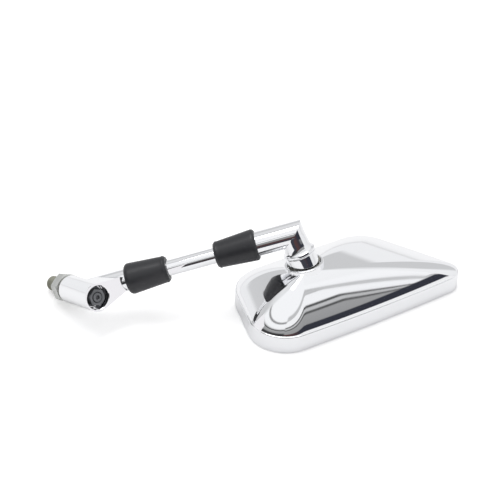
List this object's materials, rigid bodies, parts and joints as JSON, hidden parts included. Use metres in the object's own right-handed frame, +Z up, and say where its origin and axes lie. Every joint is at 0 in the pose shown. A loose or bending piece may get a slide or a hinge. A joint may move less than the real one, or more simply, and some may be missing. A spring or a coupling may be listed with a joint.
{
  "type": "motorcycle mirror",
  "caption": "Motorcycle handlebar mirror: chromed domed four-sided head on a ball joint, straight arm with rubber boots, and a knuckle that turns on a threaded stud.",
  "frame": {"origin": "on the floor, under the middle of the whole mirror as it lies on the foot of its rim and the end of its stud", "axes": "+X along the mirror's length from the stud to the far end of the head, +Y away from the head's long front edge side, +Z up, away from the glass"},
  "size_m": [0.2778, 0.1108, 0.0692],
  "materials": {
    "chrome": "polished bright chrome",
    "zinc_stud": "dull olive zinc plate on a rolled thread",
    "zinc_nut": "matt zinc plate",
    "dark_steel": "oiled dark steel",
    "boot_rubber": "satin black moulded rubber",
    "gasket_rubber": "matt black rubber",
    "liner_nylon": "ivory low-friction plastic",
    "foam": "closed-cell foam",
    "mirror": "silvered flat glass"
  },
  "bodies": {
    "base": {"stud": "zinc_stud", "lock_nut": "zinc_nut", "disc_spring": "dark_steel", "pivot_washer": "dark_steel", "pivot_nut": "dark_steel"},
    "knuckle": {"knuckle": "chrome"},
    "arm": {"arm_rod": "chrome", "lower_jam_nut": "zinc_nut", "upper_jam_nut": "zinc_nut", "lower_boot": "boot_rubber", "upper_boot": "boot_rubber"},
    "elbow": {"elbow": "chrome", "ball_bolt": "dark_steel", "cup_washer": "dark_steel", "tension_spring": "dark_steel", "spring_washer": "zinc_nut", "ball_nut": "zinc_nut"},
    "ball": {"swivel_ball": "chrome"},
    "liner": {"seat_liner": "liner_nylon"},
    "head": {"head_shell": "chrome", "glass_gasket": "gasket_rubber", "backing_pad": "foam", "mirror_glass": "mirror"}
  },
  "joints": [
    {"name": "base_pivot", "type": "hinge", "parent": "base", "child": "knuckle", "pos_m": [-0.11082, -0.01816, 0.02008], "axis": [0.5844, -0.7191, 0.3759], "continuous": true},
    {"name": "arm_twist", "type": "hinge", "parent": "knuckle", "child": "arm", "pos_m": [-0.11082, -0.01816, 0.02008], "axis": [0.9591, 0.0666, 0.2751], "range_deg": [-90, 90]},
    {"name": "elbow_twist", "type": "hinge", "parent": "arm", "child": "elbow", "pos_m": [0.02489, -0.00874, 0.05901], "axis": [0.9591, 0.0666, 0.2751], "range_deg": [-90, 90]},
    {"name": "head_swivel", "type": "hinge", "parent": "elbow", "child": "ball", "pos_m": [0.03271, -0.01361, 0.0397], "axis": [-0.3655, 0.2275, 0.9026], "continuous": true},
    {"name": "head_tilt", "type": "hinge", "parent": "ball", "child": "liner", "pos_m": [0.03271, -0.01361, 0.0397], "axis": [0.4129, 0.9087, -0.0618], "range_deg": [-29.75, 4.25]},
    {"name": "head_spin", "type": "hinge", "parent": "liner", "child": "head", "pos_m": [0.03271, -0.01361, 0.0397], "axis": [-0.1723, 0.1446, 0.9744], "continuous": true}
  ]
}
